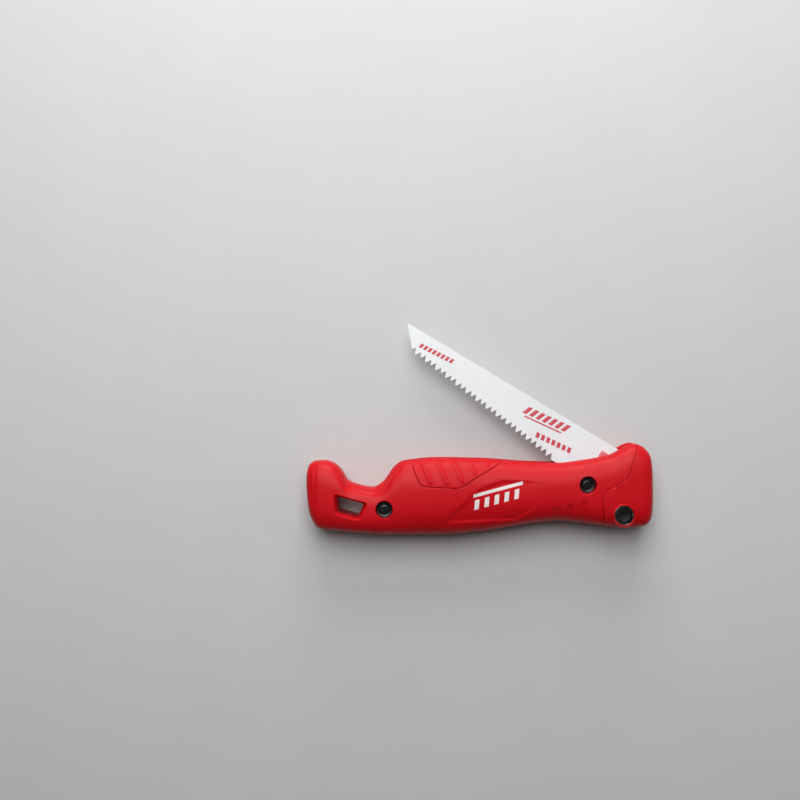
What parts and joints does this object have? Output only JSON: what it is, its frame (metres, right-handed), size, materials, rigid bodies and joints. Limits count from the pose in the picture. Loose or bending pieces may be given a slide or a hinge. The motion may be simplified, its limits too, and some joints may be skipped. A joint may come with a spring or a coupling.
{
  "type": "folding drywall saw",
  "caption": "Folding drywall saw: two-shell handle with finger notch and lanyard hole, white pointed toothed blade on a hidden pivot, push-button lock, sprung blade release.",
  "frame": {"origin": "on the flat of the rear side, straight under the fold axis; the saw lies on that side", "axes": "+Z out of the rest surface along the fold axis, handle runs along -X, blade opens through +Y towards +X"},
  "size_m": [0.197, 0.1212, 0.03],
  "materials": {
    "red_plastic": "red moulded plastic, satin, with soft mould marks",
    "grip_rubber": "red soft grip with slanted grooves, matt",
    "red_metal": "red painted steel, satin",
    "blade_coat": "white non-stick coating over steel with a red print",
    "black_plastic": "black plastic, satin",
    "black_screw": "black oxide steel, a little shiny",
    "brass": "turned brass",
    "spring_steel": "spring steel, dull",
    "bright_steel": "bright turned steel ring",
    "steel": "rolled and punched steel"
  },
  "bodies": {
    "handle": {"butt_insert": "brass", "butt_screw": "black_screw", "button_bezel": "bright_steel", "button_spring": "spring_steel", "detent_ball": "steel", "front_grip_pad": "grip_rubber", "front_liner": "steel", "front_nose_cap": "red_plastic", "front_pivot_washer": "brass", "front_shell": "red_plastic", "front_shell_screw": "black_screw", "leaf_rivet_1": "steel", "leaf_rivet_2": "steel", "lock_leaf": "spring_steel", "pivot_pin": "steel", "rear_grip_pad": "grip_rubber", "rear_liner": "steel", "rear_nose_cap": "red_plastic", "rear_pivot_washer": "brass", "rear_shell": "red_plastic", "rear_shell_screw": "black_screw", "spacer_rivet_1": "steel", "spacer_rivet_2": "steel", "spacer_rivet_3": "steel", "spine_spacer": "black_plastic", "stop_pin_closed": "steel", "stop_pin_open": "steel"},
    "blade_arm": {"saw_blade": "blade_coat", "front_clamp_plate": "red_metal", "rear_clamp_plate": "red_metal", "clamp_core": "steel", "pivot_bush": "brass", "clamp_rivet_1": "steel", "clamp_rivet_2": "steel", "clamp_rivet_3": "steel", "clamp_rivet_4": "steel"},
    "lock_button": {"lock_button": "black_plastic"},
    "release": {"release_slider": "red_metal"},
    "tang_pin": {"tang_pin": "steel"}
  },
  "joints": [
    {"name": "fold", "type": "hinge", "parent": "handle", "child": "blade_arm", "pos_m": [0, 0, 0.015], "axis": [0, 0, -1], "range_deg": [-31, 149]},
    {"name": "button_press", "type": "slide", "parent": "handle", "child": "lock_button", "axis": [0, 0, -1], "range_m": [0, 0.003], "stiffness_N_per_m": 800, "springref_m": -0.002, "deforming": ["button_spring"]},
    {"name": "release_slide", "type": "slide", "parent": "blade_arm", "child": "release", "axis": [-0.8572, 0.515, 0], "range_m": [0, 0.003], "stiffness_N_per_m": 500, "springref_m": -0.002},
    {"name": "tang_pin_lift", "type": "slide", "parent": "blade_arm", "child": "tang_pin", "axis": [0, 0, 1], "range_m": [0, 0.0012]}
  ],
  "couplings": [
    {"joint": "tang_pin_lift", "follows": "release_slide", "ratio": 0.4}
  ]
}
